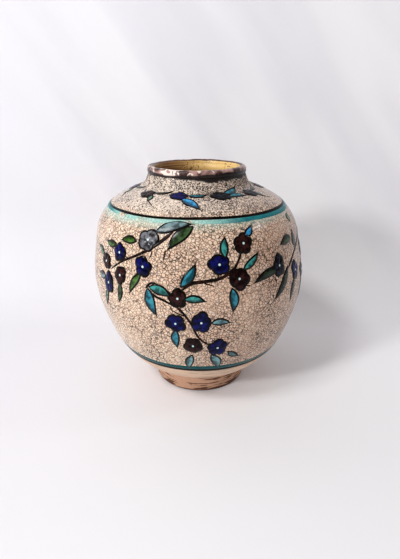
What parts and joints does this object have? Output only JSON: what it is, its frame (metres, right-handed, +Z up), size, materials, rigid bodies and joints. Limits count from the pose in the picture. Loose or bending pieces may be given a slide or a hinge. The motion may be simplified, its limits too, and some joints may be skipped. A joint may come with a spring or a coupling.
{
  "type": "ball vase",
  "caption": "Round-bellied glazed ceramic vase on a turned foot, with a short neck, rolled lip and raised enamel sprays of flowers.",
  "frame": {"origin": "on the vase's axis, in the plane of the foot's underside", "axes": "+Z up along the axis, -Y towards the side that the picture shows"},
  "size_m": [0.2, 0.2024, 0.2151],
  "materials": {
    "bare_clay": "matt unglazed buff clay with brown streaks",
    "crackle_glaze": "glossy cream glaze with fine brown crackle",
    "rim_glaze": "worn brown-black glaze, pinkish where thin",
    "manganese_enamel": "glossy raised brown-black enamel",
    "turquoise_enamel": "glossy raised turquoise enamel",
    "cobalt_enamel": "glossy raised cobalt enamel, with turquoise leaves and brown stems"
  },
  "bodies": {
    "root": {"foot_ring": "bare_clay", "lower_bowl": "crackle_glaze", "upper_bowl": "crackle_glaze", "neck_collar": "crackle_glaze", "rolled_lip": "rim_glaze", "shoulder_line": "manganese_enamel", "foot_line": "manganese_enamel", "shoulder_band": "turquoise_enamel", "foot_band": "turquoise_enamel", "front_left_spray": "cobalt_enamel", "front_centre_spray": "cobalt_enamel", "front_right_spray": "cobalt_enamel", "back_left_spray": "cobalt_enamel", "back_centre_spray": "cobalt_enamel", "back_right_spray": "cobalt_enamel", "neck_sprig_01": "cobalt_enamel", "neck_sprig_02": "cobalt_enamel", "neck_sprig_03": "cobalt_enamel", "neck_sprig_04": "cobalt_enamel", "neck_sprig_05": "cobalt_enamel", "neck_sprig_06": "cobalt_enamel", "neck_sprig_07": "cobalt_enamel", "neck_sprig_08": "cobalt_enamel", "neck_sprig_09": "cobalt_enamel", "neck_sprig_10": "cobalt_enamel"}
  },
  "joints": []
}
